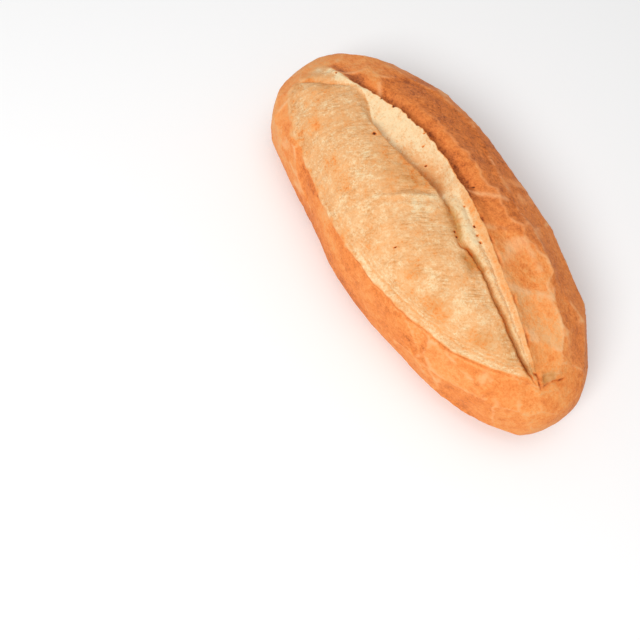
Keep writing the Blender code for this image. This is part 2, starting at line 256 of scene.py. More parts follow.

# Crust facets: (place along, place across, tone), with more spread between them by chance
# The listed tones are partly painted light and shade of the facets.
KNOWN_FACETS = [
    (-0.55, 0.34, 0.3), (-0.34, 0.38, 0.2), (-0.05, 0.36, 0.8), (0.13, 0.33, 0.8), (0.28, 0.26, -0.1),
    (0.41, 0.33, 0.1), (0.48, 0.08, -0.3), (0.62, 0.19, -0.2), (0.72, 0.21, -1.0), (0.80, -0.01, -0.2),
    (-0.27, 0.63, 0.1), (-0.11, 0.68, 0.5), (0.02, 0.67, 0.3), (0.20, 0.70, 0.6), (0.35, 0.74, 0.5),
    (0.51, 0.75, 0.2), (0.63, 0.59, 0.5), (0.76, 0.50, 0.4), (0.90, 0.39, 0.3), (0.93, -0.06, 0.0),
    (0.88, -0.61, -0.3), (0.96, -0.67, 0.0), (0.80, -0.76, 0.0), (-0.80, -0.91, 0.4),
    (-0.66, -0.99, -0.4), (-0.53, -0.97, 0.4), (-0.39, -0.97, -0.3), (-0.23, -0.97, -0.2),
    (0.30, -0.97, 0.3), (0.38, -0.94, 0.2), (0.45, -0.92, -0.9), (0.54, -0.89, 0.1), (0.61, -0.88, -0.4),
    (0.67, -0.99, 0.3), (0.71, -0.84, 0.3), (-0.94, -0.57, -0.8), (-0.80, 0.23, 0.0),
    (-0.66, 0.35, 0.2), (-0.89, -0.99, -0.5),
]
FACET_SPACING = 16 * MM
FACET_SEED = 11
FACET_TRIES = 5000
FACET_RANGE = (0.02, 0.98)
FACET_TILT = 0.06
FACET_SOFTNESS = 0.06 * MM
FACET_SINK = 0.8 * MM
FACET_LIMITS = (-2 * MM, 3 * MM)
FACET_FACING = 0.4
CHANCE_TONE = 0.5
CHANCE_TONE_SEED = 2

# Browning, from 0 for pale cream to 1 for dark brown. Pairs are for the -X and the +X end.
NEAR_BROWNING = (0.60, 0.61)
# On the far side the change from the -X to the +X end is painted: darker at -X, which lies in shade, lighter
# towards +X, where more light falls.
FAR_BROWNING_AND_SHADE = (0.63, 0.59)
FLAP_BROWNING = 0.28
FLOOR_BROWNING = 0.05
STRIP_BROWNING = 0.04
ROLL_BROWNING = 0.34
MOST_BROWNING = 0.82

# Patches of browning: (change, size, seed, octaves)
CRUST_CLOUD = (0.05, 18 * MM, 8, 2)
WARPED_CLOUD = (0.05, 8 * MM, 16, 3)
FLAP_CLOUDS = [(0.12, 13 * MM, 9, 3), (0.07, 4 * MM, 10, 3)]
CRUMB_CLOUD = (0.05, 5 * MM, 11, 3)
STRIP_CLOUD = (0.06, 5 * MM, 11, 3)

# Changes of browning and painted shade beside the lines: (change, width, distance from the line)
SEAM_BROWN = (0.06, 1.2 * MM, -1.6 * MM)
SEAM_PALE = (0.13, 0.9 * MM, -3.6 * MM)
# Behind the open lip: browner crust, with painted shade where the crust falls away from the lip.
BAND_BROWN_AND_SHADE = (0.24, 4.5 * MM, 3.0 * MM)
# Painted light on the crust behind the closed lip.
BEHIND_LIP_LIGHT = (0.03, 9.0 * MM, 0)
# Painted shade on the recess floor, beside the step down from the flap.
FLOOR_SHADE = (0.12, 9.0 * MM, 0)
# Painted shade along the soft groove, where the score has closed.
SOFT_GROOVE_SHADE = (0.15, 2.0 * MM, 1.0 * MM)
# Painted shade down in the crack.
CRACK_SHADE = (0.22, 0.7 * MM, 0)
FLAP_SEAM = (1, 2.2 * MM, 0)
FLAP_EDGE = (1, 1.5 * MM, -0.8 * MM)

# Other changes of browning, with painted light and shade among them. Pairs are for the near and far side,
# the soft and crisp seam, and the whole and cracked strip.
# Painted light on the +X end, which lies towards the lamp.
END_PAINTED_LIGHT = 0.03
ROLL_PALE = (0.08, 0.06)
# Browner crust and painted shade on the lower far panel, beyond the crease.
BEYOND_CREASE_BROWN_AND_SHADE = 0.05
BEYOND_CREASE_FROM = (-1.0 * MM, 3.0 * MM)
# Each facet's tone, partly painted light and shade as the facets face the light, partly left to chance.
FACET_CONTRAST = 0.08
# Rubbed crust and painted highlight along the facets' edges and the crease's crest.
EDGE_LINE_PALE = 0.14
CREST_PALE = 0.10
# Painted shadow in the small tears behind the lip.
GASH_SHADOW = 0.26
# Painted shade inside the small holes.
HOLE_SHADE = 0.9
HOLE_RIM = (0.35, 0.75)
# Darker low down on the near side.
LOW_DARKER = 0.03
LOW_FROM = (24 * MM, 6 * MM)
BASE_PALE = 0.08
BASE_FROM = (7 * MM, 2 * MM)
FLAP_SEAM_PALE = (0.08, 0.21)
# Painted highlight on the flap's fold crests and painted shade in their troughs.
FOLDS_LIGHT_AND_SHADE = 0.08
# Painted shade on the flap's edge over the recess, and a painted shadow line under the roll at the -X end.
FLAP_EDGE_SHADE = 0.14
UNDER_ROLL_SHADOW = 0.10
STRIP_BROWN = (0.36, 0.21)
STRIP_FROM = (0.60, 0.82)
STRIP_END_BROWN = 0.16
LEAST_FLAP_EDGE = 0.4
FLAP_COLOUR_ENDS = (0.3 * MM, -0.5 * MM)

# Blur of the flap's colour over the seam, where it is soft and where it is crisp
SEAM_STRAY = (4.0 * MM, 1.0 * MM)
SEAM_FADE = (4.0 * MM, 1.2 * MM)
STRAY_CLOUD = (1, 6 * MM, 13, 3)

# Pale lines along the facets' edges and the crease: rubbed crust, with painted highlight on the ridges
EDGE_LINE_WIDTH = 0.20 * MM
CREST_WIDTH = 1.1 * MM
BREAKS = (-0.4, 0.3)
BREAKS_CLOUD = (1, 9 * MM, 12, 2)
LEAST_CREST = 0.4
LINES_FROM_HEIGHT = (0.35 * HEIGHT, 0.75 * HEIGHT)
LEAST_LOW_LINES = 0.2
LEAST_TIP_LINES = 0.4

# Peach and olive tints, from 0 to 1
BLUSH_CLOUD = (1, 15 * MM, 14, 3)
BLUSH_PATCHES = (-0.1, 0.7)
BLUSH_FACETS = (-0.2, -1.0)
BLUSH_OF_PATCH = 0.7
BLUSH_OF_FACET = 0.6
BLUSH_OF_ROLL = 0.8
WIDE_BLUSH = 0.07
LINE_BLUSH = 0.5
GROOVE_SHADE = (0.8, 1.4 * MM)
SHADE_STRENGTH = 0.8
SHADE_CLOUD = (0.5, 4 * MM, 17, 3)

# Mesh: rings along the loaf and columns round it, closer together beside the lines
RINGS = 416
COLUMNS = 236
KEY_COLUMNS = [0, 32, 90, 120, 150, 192, COLUMNS]
CROWDING = [0.45, 0.45, 0.35, 0.45, 0.45, 0.6]
EVEN_ANGLES = [-52, -22, 4, 35]
PATH_STEPS = 24
PATH_TAPER = 0.2

# Colours of the crust and the crumb by their browning, the peach tint, and the olive-tan that also paints
# shade
BREAD_COLOURS = [
    (0.00, (0.87, 0.67, 0.40)),
    (0.12, (0.86, 0.58, 0.31)),
    (0.25, (0.82, 0.46, 0.210)),
    (0.40, (0.81, 0.395, 0.150)),
    (0.52, (0.86, 0.33, 0.092)),
    (0.64, (0.81, 0.24, 0.052)),
    (0.76, (0.63, 0.165, 0.032)),
    (0.88, (0.34, 0.075, 0.015)),
    (1.00, (0.11, 0.024, 0.006)),
]
BLUSH_COLOUR = (0.90, 0.46, 0.22, 1)
TAN_AND_SHADE_COLOUR = (0.70, 0.57, 0.36, 1)

# Noises of the shader: (size, detail, roughness)
REGIONS = (20 * MM, 2, 0.5)
PATCHES = (12 * MM, 2, 0.5)
MOTTLES = (5 * MM, 3, 0.6)
FLECKS = (2.4 * MM, 2, 0.6)
SPECKS = (1.1 * MM, 3, 0.7)
LUMPS = (3.2 * MM, 3, 0.5)
GRAIN = (0.9 * MM, 4, 0.65)
STREAKS = (1, 4, 0.6, 0.35)
STREAKS_TURN = math.radians(-60)
STREAKS_SIZE = (9 * MM, 1.2 * MM, 1.2 * MM)
PEBBLE_SIZE = 2.2 * MM
PEBBLE_SMOOTHNESS = 0.4

# How strong each of them is in the browning, in the olive tint and in the bumps
REGION_START = 0.5
CRUST_MOTTLING = 0.7
PALE_MOTTLING = 0.25
MOTTLE_SHARE = 0.45
FLECK_SHARE = 0.40
SPECK_SHARE = 0.60
STREAK_SHARE = 0.5
PATCH_START = 0.35
PATCH_GAIN = 3.5
FURROW_START = 0.52
FURROW_GAIN = 5.0
FURROW_SHARE = 0.7
DOT_START = 0.07
DOT_GAIN = 3.0
DOT_SHARE = 0.9
PEBBLE_BUMP = -0.3
GRAIN_BUMP = 0.5
STREAK_BUMP = 3.0
BUMP_STRENGTH = 0.9
BUMP_HEIGHT = 0.7 * MM
ROUGHEST = 0.80
GLOSS_OF_BROWNING = -0.25
SPECULAR = 0.16

# Camera, at the photograph's angle, and the studio's two lamps: (place, size, power)
CAMERA_PLACE = (0.1522, -0.1915, 0.4320)
CAMERA_RIGHT = (0.50104477, 0.86364427, 0.0554321)
CAMERA_UP = (-0.81197298, 0.44697385, 0.37538548)
CAMERA_LENS = 41.9
SENSOR_WIDTH = 36
LAMPS = {"key": ((0.35, -0.90, 1.0), 0.6, 10.8), "top": ((0.0, 0.1, 1.3), 1.0, 3)}
WORLD_COLOUR = (1, 1, 1, 1)
WORLD_STRENGTH = 0.50
FLOOR_COLOUR = (0.94, 0.94, 0.94, 1)
FLOOR_ROUGHNESS = 0.9
FLOOR_SPECULAR = 0.1
FLOOR_SIZE = 40


def smooth_step(start, end, value):
    """0 before start, 1 past end, and a smooth rise between. The end may be the lower one."""
    part = np.clip((value - start) / (end - start), 0, 1)
    return part * part * (3 - 2 * part)


def blend(first, second, share):
    """The first value where the share is 0, and the second where it is 1."""
    return first + (second - first) * share


def bump(height, width, distance):
    """A rounded rise of this height at distance 0, gone at about twice its width."""
    return height * np.exp(-(distance / width) ** 2)


def beside(change, width, place, distance):
    """A bump whose top lies at this place, in distances from a line."""
    return bump(change, width, distance - place)


def along(line, station):
    """Reads a line of (place, value) pairs at any stations, as one smooth curve."""
    knots, values = np.array(line).T
    slopes = np.gradient(values, knots)
    i = np.clip(np.searchsorted(knots, station) - 1, 0, len(knots) - 2)
    span = knots[i + 1] - knots[i]
    part = np.clip((station - knots[i]) / span, 0, 1)
    ease = part * part * (3 - 2 * part)
    start = part * (1 - part) ** 2 * slopes[i]
    end = part * part * (part - 1) * slopes[i + 1]
    return values[i] + ease * (values[i + 1] - values[i]) + span * (start + end)


def wander(station, size, seed):
    """Smooth noise along the loaf, from about -1 to 1, with waves of this size."""
    place = (station * LENGTH / 2 / size, WAVE_SEED_STEP * seed, WAVE_HEIGHT)
    return WAVE_GAIN * noise.noise(Vector(place))


def waves(station, layers):
    """Sum of noise along the loaf, from the amount, size and seed of each."""
    return sum(amount * wander(station, size, seed) for amount, size, seed in layers)


def cloud(points, amount, size, seed, octaves, stretch=(1, 1, 1)):
    """Fractal noise over the points, up to about this amount, with lumps of this size."""
    flat = points.reshape(-1, 3) / (size * np.array(stretch)) + CLOUD_SEED_STEP * seed
    values = [noise.fractal(Vector(p), CLOUD_ROUGHNESS, CLOUD_STEPS, octaves) for p in flat]
    return amount * np.array(values).reshape(points.shape[:-1])


# Body ------------------------------------------------------------------------------------


def line_angles(station):
    """Angles round the section of the seam, groove, lip and crease, with their unevenness."""
    lines = (SEAM, GROOVE, LIP, CREASE)
    seam, groove, lip, crease = (float(along(line, station)) for line in lines)
    inside = float(smooth_step(*WAVES_FADE, abs(station)))
    ragged = blend(1, LEAST_RAGGED, float(smooth_step(*LIP_STEADIES, station)))
    seam += inside * waves(station, SEAM_WAVES)
    groove += inside * waves(station, GROOVE_WAVES)
    lip += inside * ragged * waves(station, LIP_WAVES)
    crease += inside * waves(station, CREASE_WAVES)
    return [math.asin(value) for value in (seam, groove, lip, crease)]


def ring_angles(station):
    """Angle round the section for each column: -90 degrees is the -Y side."""
    spread = smooth_step(*SPREAD_FROM, abs(station))
    lines = (1 - spread) * np.array(line_angles(station)) + spread * np.radians(EVEN_ANGLES)
    angles = np.array([-math.pi / 2, *lines, math.pi / 2, 3 * math.pi / 2])
    place = np.interp(np.arange(COLUMNS), KEY_COLUMNS, np.arange(len(angles)))
    span = np.minimum(place.astype(int), len(angles) - 2)
    part = place - span
    part = part - np.array(CROWDING)[span] * np.sin(2 * math.pi * part) / (2 * math.pi)
    return angles[span] + part * (angles[span + 1] - angles[span])


def side_reach(station, across):
    """Distance from the middle line to the -Y side, or to the +Y side where across > 0."""
    plan = np.maximum(1 - abs(station) ** PLAN_POWER, 0)
    fullness = np.where(across > 0, along(FAR_SIDE, station), along(NEAR_SIDE, station))
    return WIDTH / 2 * plan ** (1 / PLAN_POWER) * fullness


def plain_body(station, angle):
    """Points of the body before its relief, for arrays of stations and section angles."""
    across = np.sin(angle)
    plan = np.maximum(1 - abs(station) ** PLAN_POWER, 0)
    reach = (1 - plan * (1 - abs(across) ** PLAN_POWER)) ** (1 / PLAN_POWER)
    dome = np.maximum(1 - reach**DOME_POWER, 0) ** (1 / DOME_POWER)
    bowl = np.maximum(1 - reach**BASE_POWER, 0) ** (1 / BASE_POWER)
    top = WIDEST + (HEIGHT - WIDEST) * dome
    under = WIDEST * (1 - np.minimum(BASE_FLATTENING * bowl, 1))
    x = LENGTH / 2 * station + 0 * angle
    y = side_reach(station, across) * across
    z = np.where(np.cos(angle) > 0, top, under)
    return np.stack([x, y, z], axis=-1)


def outward(station, angle):
    """Unit normals of the plain body, along X at its two tips."""
    step = 1e-3
    inner = np.clip(station, step - 1, 1 - step)
    round_it = plain_body(inner, angle + step) - plain_body(inner, angle - step)
    along_it = plain_body(inner + step, angle) - plain_body(inner - step, angle)
    normal = np.cross(along_it, round_it)
    normal /= np.linalg.norm(normal, axis=-1, keepdims=True)
    at_tip = (abs(station) == 1)[..., None] + np.zeros_like(normal)
    return np.where(at_tip, np.sign(station)[..., None] * np.array([1.0, 0, 0]), normal)


def even_stations():
    """Stations whose rings are equally far apart along the widest outline of the loaf."""
    turn = np.linspace(0, math.pi, 4001)
    station = -np.cos(turn)
    outline = plain_body(station, np.full_like(turn, math.pi / 2))
    steps = np.linalg.norm(np.diff(outline, axis=0), axis=1)
    length = np.pad(np.cumsum(steps), (1, 0))
    return np.interp(np.linspace(0, length[-1], RINGS + 1), length, station)[:, None]


def girth(points):
    """Distance round each ring's section from its first column."""
    steps = np.linalg.norm(np.diff(points, axis=1), axis=2)
    return np.pad(np.cumsum(steps, axis=1), ((0, 0), (1, 0)))


def line_places(station, angle, place):
    """Distance round the section at which each line lies, as one column of values each."""
    rows = zip(station[:, 0], angle, place)
    found = np.array([np.interp(line_angles(s), angles, places) for s, angles, places in rows])
    return found.T[:, :, None]


class Surface:
    """What the relief and the colours need to know, at every ring and column."""

    def __init__(self):
        self.station = even_stations()
        self.angle = np.array([ring_angles(place) for place in self.station[:, 0]])
        self.points = plain_body(self.station, self.angle)
        self.normals = outward(self.station, self.angle)
        self.measure_from_lines()
        self.find_stretches()
        self.find_regions()
        self.warped = self.points + self.swirl(*WARP)
        self.ragged = self.points + self.swirl(*RAGGED)

    def measure_from_lines(self):
        """Distances round the section from each line, and the widths between the lines."""
        place = girth(self.points)
        seam, groove, lip, crease = line_places(self.station, self.angle, place)
        self.from_seam = place - seam
        self.from_groove = place - groove
        self.from_lip = place - lip
        self.from_crease = place - crease
        self.flap_width = np.maximum(groove - seam, MM)
        self.recess_width = np.maximum(lip - groove, MM)
        self.over_flap = np.clip(self.from_seam / self.flap_width, 0, 1)
        self.over_recess = np.clip(self.from_groove / self.recess_width, 0, 1)

    def find_stretches(self):
        """How far each form has grown along the loaf, from 0 to 1."""
        self.scored = smooth_step(*SCORE_START, self.station) * smooth_step(*SCORE_END, self.station)
        self.creased = smooth_step(*CREASE_START, self.station) * smooth_step(*CREASE_END, self.station)
        self.opened = smooth_step(*RECESS_OPENS, self.station)
        self.closed = smooth_step(*RECESS_CLOSES, self.station)
        self.cracked = smooth_step(*CRACK_STARTS, self.station)
        self.soft = self.closed * (1 - self.cracked)
        self.crisp = smooth_step(*SEAM_SHARPENS, self.station)
        self.rolled = 1 - smooth_step(*ROLL_ENDS, self.station)
        self.towards_end = smooth_step(*CRUST_WARMS, self.station)

    def find_regions(self):
        """Which part of the surface each place is on, from 0 to 1."""
        from_base = smooth_step(*RELIEF_FROM_BASE, self.points[..., 2])
        self.upper = np.where(np.cos(self.angle) > 0, 1, from_base)
        before_groove = smooth_step(*GROOVE_BLEND, self.from_groove)
        self.flap = smooth_step(*SEAM_BLEND, self.from_seam) * before_groove * self.scored
        before_lip = smooth_step(*LIP_BLEND, self.from_lip)
        self.recess = (1 - before_groove) * before_lip * self.scored
        self.crust = 1 - np.maximum(self.flap, self.recess)
        past_lip = smooth_step(*FAR_BLEND, self.from_lip)
        self.far = blend(np.sin(self.angle) > 0, past_lip, self.scored)

    def swirl(self, amount, size):
        """Small moves along the surface, for uneven outlines."""
        flat = self.points.reshape(-1, 3)
        noise.seed_set(SWIRL_SEED)
        moves = np.array([noise.noise_vector(Vector(p) / size) for p in flat])
        moves = amount * moves.reshape(self.points.shape)
        return moves - self.normals * np.sum(moves * self.normals, axis=-1, keepdims=True)


# Relief ----------------------------------------------------------------------------------


def on_body(station, across):
    return plain_body(np.array(station), np.arcsin(np.array(across)))


def path_points(path):
    """Points along a path over the plain body, closer together than the mesh's own."""
    stations, acrosses = np.array(path).T
    steps = np.linspace(0, len(path) - 1, PATH_STEPS * (len(path) - 1) + 1)
    knots = np.arange(len(path))
    return on_body(np.interp(steps, knots, stations), np.interp(steps, knots, acrosses))


def path_profile(points, path, width):
    """1 on a path, falling off over its width, and tapered towards its two ends."""
    line = path_points(path)
    profile = np.zeros(len(points))
    margin = 3 * width
    near = np.all((points > line.min(axis=0) - margin) & (points < line.max(axis=0) + margin), axis=1)
    gaps = np.linalg.norm(points[near][:, None] - line[None], axis=2)
    nearest = gaps.argmin(axis=1)
    part = nearest / (len(line) - 1)
    taper = smooth_step(0, PATH_TAPER, part) * smooth_step(1, 1 - PATH_TAPER, part)
    profile[near] = bump(1, width, gaps.min(axis=1)) * taper
    return profile


def paths(s):
    """Height from every ridge and cut, and the change of browning with its painted light and shade."""
    points = s.ragged.reshape(-1, 3)
    height, browning = np.zeros(len(points)), np.zeros(len(points))
    for tall, wide, brown, path in PATHS:
        profile = path_profile(points, path, wide * MM)
        height += tall * MM * profile
        browning += brown * profile
    return height.reshape(s.upper.shape), browning.reshape(s.upper.shape)


def spots(s, places):
    """Sum of round spots, with uneven outlines."""
    total = np.zeros(s.upper.shape)
    for station, across, radius, amount in places:
        gap = np.linalg.norm(s.warped - on_body(station, across), axis=-1)
        total += bump(amount, radius * MM, gap)
    return total


def holes(s):
    """1 in the middle of each small hole, falling off to 0 round it."""
    found = np.zeros(s.upper.shape)
    for station, across, radius in HOLES:
        gap = np.linalg.norm(s.points - on_body(station, across), axis=-1)
        found = np.maximum(found, bump(1, radius * MM, gap))
    return found


def facet_centres():
    """Stations, angles and tones of the facets' middles."""
    rng = np.random.default_rng(FACET_SEED)
    centres = [(station, math.asin(across)) for station, across, _ in KNOWN_FACETS]
    places = [plain_body(station, angle) for station, angle in centres]
    for _ in range(FACET_TRIES):
        station = -math.cos(math.pi * rng.uniform(*FACET_RANGE))
        angle = math.pi * rng.uniform(-1, 1)
        seam, _, lip, _ = line_angles(station)
        place = plain_body(station, angle)
        on_score = seam < angle < lip and SCORE_START[0] < station < SCORE_END[0]
        if not on_score and np.linalg.norm(place - places, axis=1).min() > FACET_SPACING:
            centres.append((station, angle))
            places.append(place)
    known = [tone for _, _, tone in KNOWN_FACETS]
    rng = np.random.default_rng(CHANCE_TONE_SEED)
    chance = rng.uniform(-CHANCE_TONE, CHANCE_TONE, len(centres) - len(known))
    return (*np.array(centres).T, np.array([*known, *chance]))


def facets(s):
    """Height of the lowest facet over the plain body, gap to the next one, and tone."""
    stations, angles, tones = facet_centres()
    rng = np.random.default_rng(FACET_SEED)
    middles = plain_body(stations, angles)
    slopes = outward(stations, angles) + FACET_TILT * rng.normal(size=middles.shape)
    slopes /= np.linalg.norm(slopes, axis=1, keepdims=True)
    facing = s.normals @ slopes.T
    heights = np.sum(middles * slopes, axis=1) - s.ragged @ slopes.T
    heights = np.where(facing > FACET_FACING, heights / np.maximum(facing, FACET_FACING), LENGTH)
    lowest = np.partition(heights, 1, axis=-1)[..., :2]
    weights = np.exp((lowest[..., :1] - heights) / FACET_SOFTNESS)
    total = weights.sum(axis=-1)
    height = lowest[..., 0] - FACET_SOFTNESS * np.log(total) - FACET_SINK
    return np.clip(height, *FACET_LIMITS), lowest[..., 1] - lowest[..., 0], weights @ tones / total


def pale_lines(s):
    """The facets' edges and the crease's crest, from 0 to 1, where the crust is rubbed pale and painted with
    highlight.
    """
    edges = bump(s.broken, EDGE_LINE_WIDTH, s.facet_gap)
    high_up = blend(LEAST_LOW_LINES, 1, smooth_step(*LINES_FROM_HEIGHT, s.points[..., 2]))
    edges = edges * np.where(s.far > 0, high_up, 1)
    edges = edges * blend(1, LEAST_TIP_LINES, smooth_step(*LINES_FADE, abs(s.station)))
    crest = bump(s.creased, CREST_WIDTH, s.from_crease)
    crest = crest * blend(LEAST_CREST, 1, s.towards_end) * blend(LEAST_CREST, 1, s.broken)
    return edges, crest


def seam_relief(s):
    """The ridge of the seam, with a valley on the flap's side and a cut on the crust's."""
    ridge = bump(*SEAM_RIDGE, s.from_seam)
    valley = bump(*SEAM_VALLEY, s.from_seam - SEAM_VALLEY[1])
    cut = bump(*SEAM_CUT, s.from_seam + 2 * SEAM_CUT[1])
    return (ridge - valley - cut) * blend(LEAST_SEAM, 1, s.crisp)


def recess_relief(s):
    """The step down from the flap, the slope up to the lip, the pocket and the thin crack."""
    depth = blend(blend(RECESS_DEPTH, GROOVE_DEPTH, s.closed), CRACK_DEPTH, s.cracked)
    depth = depth * s.opened * blend(1, LEAST_DEPTH, s.soft)
    edge = blend(*RECESS_EDGES, smooth_step(*EDGE_SHARPENS, s.station)) + SOFT_EDGE * s.soft
    fallen = smooth_step(-edge, 0, s.from_groove) * (s.from_lip < 0)
    slope = blend(RECESS_SLOPE, GROOVE_SLOPE, s.closed)
    recess = depth * fallen * (1 - s.over_recess**slope)
    face = s.closed * INNER_FACE * np.sin(math.pi * np.clip(s.over_recess / INNER_FACE_SHARE, 0, 1))
    pocket = bump(*POCKET, np.linalg.norm(s.points - on_body(*POCKET_PLACE), axis=-1)) * s.recess
    return face - recess - pocket - s.cracked * bump(*CRACK, s.from_groove)


def lip_relief(s):
    """The raised lip, with a hollow band behind it, or a step down where the score is closed."""
    height, width = LIP_RIDGE
    width = width + LIP_SPREAD * s.closed * (s.from_lip > 0)
    ridge = bump(height, width, s.from_lip) * blend(LEAST_LIP, 1, s.opened)
    step = s.closed * bump(*LIP_STEP, s.from_lip) * smooth_step(0, LIP_STEP_EDGE, s.from_lip)
    band_width = LIP_BAND[1]
    band = bump(*LIP_BAND, s.from_lip - band_width) * smooth_step(0, band_width / 2, s.from_lip)
    band = band * blend(1, LEAST_BAND, s.closed) * blend(1, LEAST_BAND, s.rolled)
    return ridge - step - band


def score_relief(s):
    """The whole score: the domed flap, its lines, and the roll at the -X end."""
    flap = FLAP_RISE * np.sin(math.pi * s.over_flap**FLAP_LEAN)
    roll = bump(*ROLL, s.from_groove) * smooth_step(-ROLL_EDGE, ROLL_EDGE, s.from_groove)
    foot = bump(*ROLL_FOOT, s.from_groove - ROLL_FOOT_PLACE)
    return flap + seam_relief(s) + recess_relief(s) + lip_relief(s) + s.rolled * (roll - foot)


def gashes(s):
    """Short tears in the crust, just behind the lip."""
    found = np.zeros(s.upper.shape)
    for station, length in GASHES:
        found = np.maximum(found, bump(1, length, s.station - station))
    return found * bump(1, GASH[1], s.from_lip - GASH_PLACE) * s.scored


def folds(s):
    """Small waves on the flap, beside the seam and along it."""
    place = s.from_seam + cloud(s.points, *FOLDS_SWAY)
    reach = beside(*FOLDS_REACH, s.from_seam) * smooth_step(*FOLDS_START, s.station)
    return np.cos(math.tau * place / FOLDS[1]) * s.flap * reach


def relief(s):
    """Height to add along the normal everywhere. What the colours need of it is kept on s."""
    facet_height, s.facet_gap, s.facet_tone = facets(s)
    s.broken = smooth_step(*BREAKS, cloud(s.points, *BREAKS_CLOUD))
    s.edge_lines, s.crest = pale_lines(s)
    path_height, s.path_browning = paths(s)
    s.gashes = gashes(s)
    s.holes = holes(s)
    s.folds = folds(s)

    ridge, width = CREASE_RIDGE
    crease = ridge * np.maximum(1 - abs(s.from_crease) / width, 0)
    away = smooth_step(*FACETS_FROM_LIP, s.from_lip) + smooth_step(*FACETS_FROM_SEAM, s.from_seam)
    faceted = blend(1, np.clip(away, 0, 1), s.scored)
    faceted = faceted * blend(1, LEAST_FACETS, smooth_step(*TIPS, abs(s.station)))
    plates = facet_height + bump(*FACET_EDGE, s.facet_gap)
    forms = s.scored * score_relief(s) + s.creased * crease + plates * faceted + path_height

    rough = sum(cloud(s.points, *layer) for layer in ROUGHNESS)
    wrinkles = cloud(s.points, *WRINKLES, WRINKLES_STRETCH) * s.flap
    crumb = cloud(s.points, *CRUMB) * s.recess
    small = rough + wrinkles + crumb + FOLDS[0] * s.folds - GASH[0] * s.gashes - HOLE_DEPTH * s.holes
    return (forms + small) * s.upper


# Colour ----------------------------------------------------------------------------------


def crust_level(s):
    """Browning of the crust all over, as if it had no score, with painted light and shade on its ends,
    facets and ridges and behind the lip.
    """
    near_side, far_side = (blend(*pair, s.towards_end) for pair in (NEAR_BROWNING, FAR_BROWNING_AND_SHADE))
    # The +X end is painted lighter, as lit.
    level = blend(near_side, far_side, s.far) - END_PAINTED_LIGHT * smooth_step(*END_LIGHTENS, s.station)
    level = level - blend(*ROLL_PALE, s.far) * s.rolled
    # Beyond the crease on the far side: browner crust with painted shade.
    beyond = smooth_step(*BEYOND_CREASE_FROM, s.from_crease) * s.far * (1 - s.rolled)
    # Browner beyond the crease and by each facet's tone, both partly painted shade and light.
    level = level + BEYOND_CREASE_BROWN_AND_SHADE * beyond + FACET_CONTRAST * s.facet_tone
    level = level + cloud(s.points, *CRUST_CLOUD) + cloud(s.warped, *WARPED_CLOUD)
    # Paler along the facets' edges and the crease's crest: rubbed crust and painted highlight.
    level = level - EDGE_LINE_PALE * s.edge_lines - CREST_PALE * s.crest
    level = level + LOW_DARKER * smooth_step(*LOW_FROM, s.points[..., 2]) * (1 - s.far)
    behind = s.scored * (s.from_lip > 0)
    # Behind the open lip, a browner band with painted shade.
    level = level + (1 - s.closed) * behind * beside(*BAND_BROWN_AND_SHADE, s.from_lip)
    # Painted light on the crust behind the closed lip, and painted shadow in the small tears there.
    level = level - s.closed * behind * beside(*BEHIND_LIP_LIGHT, s.from_lip) + GASH_SHADOW * s.gashes
    outside_seam = beside(*SEAM_BROWN, s.from_seam) - s.broken * beside(*SEAM_PALE, s.from_seam)
    level = level + outside_seam * s.scored * s.crisp
    return np.minimum(level, MOST_BROWNING) - BASE_PALE * smooth_step(*BASE_FROM, s.points[..., 2])


def flap_level(s):
    """Browning of the pale flap, lighter along the seam, with painted shade on its edge over the recess and
    under the roll.
    """
    level = FLAP_BROWNING + sum(cloud(s.points, *layer) for layer in FLAP_CLOUDS)
    level = level - blend(*FLAP_SEAM_PALE, s.crisp) * beside(*FLAP_SEAM, s.from_seam)
    # Painted shade on the flap's edge over the recess, and a painted shadow line under the roll.
    edge_shade = beside(*FLAP_EDGE, s.from_groove) * blend(1, LEAST_FLAP_EDGE, s.soft)
    edge_shade = edge_shade * (FLAP_EDGE_SHADE * s.opened + UNDER_ROLL_SHADOW * s.rolled)
    # The folds are painted lighter on their crests and darker in their troughs.
    return level + edge_shade - FOLDS_LIGHT_AND_SHADE * s.folds


def recess_level(s):
    """Browning of the recess: its pale floor, and the strip beside the crack where it is closed, with
    painted shade beside the flap's step, along the soft groove and in the crack.
    """
    # Painted shade on the recess floor beside the flap's step.
    floor_shade = beside(*FLOOR_SHADE, s.from_groove) * smooth_step(*FLOOR_SHADED, s.station)
    floor = FLOOR_BROWNING + cloud(s.points, *CRUMB_CLOUD) + floor_shade
    strip = STRIP_BROWNING + cloud(s.points, *STRIP_CLOUD)
    strip = strip + blend(*STRIP_BROWN, s.cracked) * smooth_step(*STRIP_FROM, s.over_recess)
    strip = strip + STRIP_END_BROWN * smooth_step(*STRIP_TANS, s.station)
    # Painted shade along the soft groove.
    strip = strip + s.soft * beside(*SOFT_GROOVE_SHADE, s.from_groove)
    # Painted shade down in the crack.
    level = blend(floor, strip, s.closed) + s.cracked * beside(*CRACK_SHADE, s.from_groove)
    return blend(level, ROLL_BROWNING, s.rolled)


def bake_and_shade_level(s):
    """How far each place is browned, with painted light and shade added in: 0 is pale cream, 1 is dark
    brown.
    """
    stray = blend(*SEAM_STRAY, s.crisp) * cloud(s.points, *STRAY_CLOUD)
    fade = blend(*SEAM_FADE, s.crisp)
    on_flap = smooth_step(-fade, fade, s.from_seam + stray)
    on_flap = on_flap * smooth_step(*FLAP_COLOUR_ENDS, s.from_groove) * s.scored
    crust = 1 - np.maximum(on_flap, s.recess)
    level = crust_level(s) * crust + flap_level(s) * on_flap + recess_level(s) * s.recess
    level = level / (crust + on_flap + s.recess)
    # Add the paths, the spots and the painted shade inside the small holes.
    return level + s.path_browning + spots(s, SPOTS) + HOLE_SHADE * smooth_step(*HOLE_RIM, s.holes)


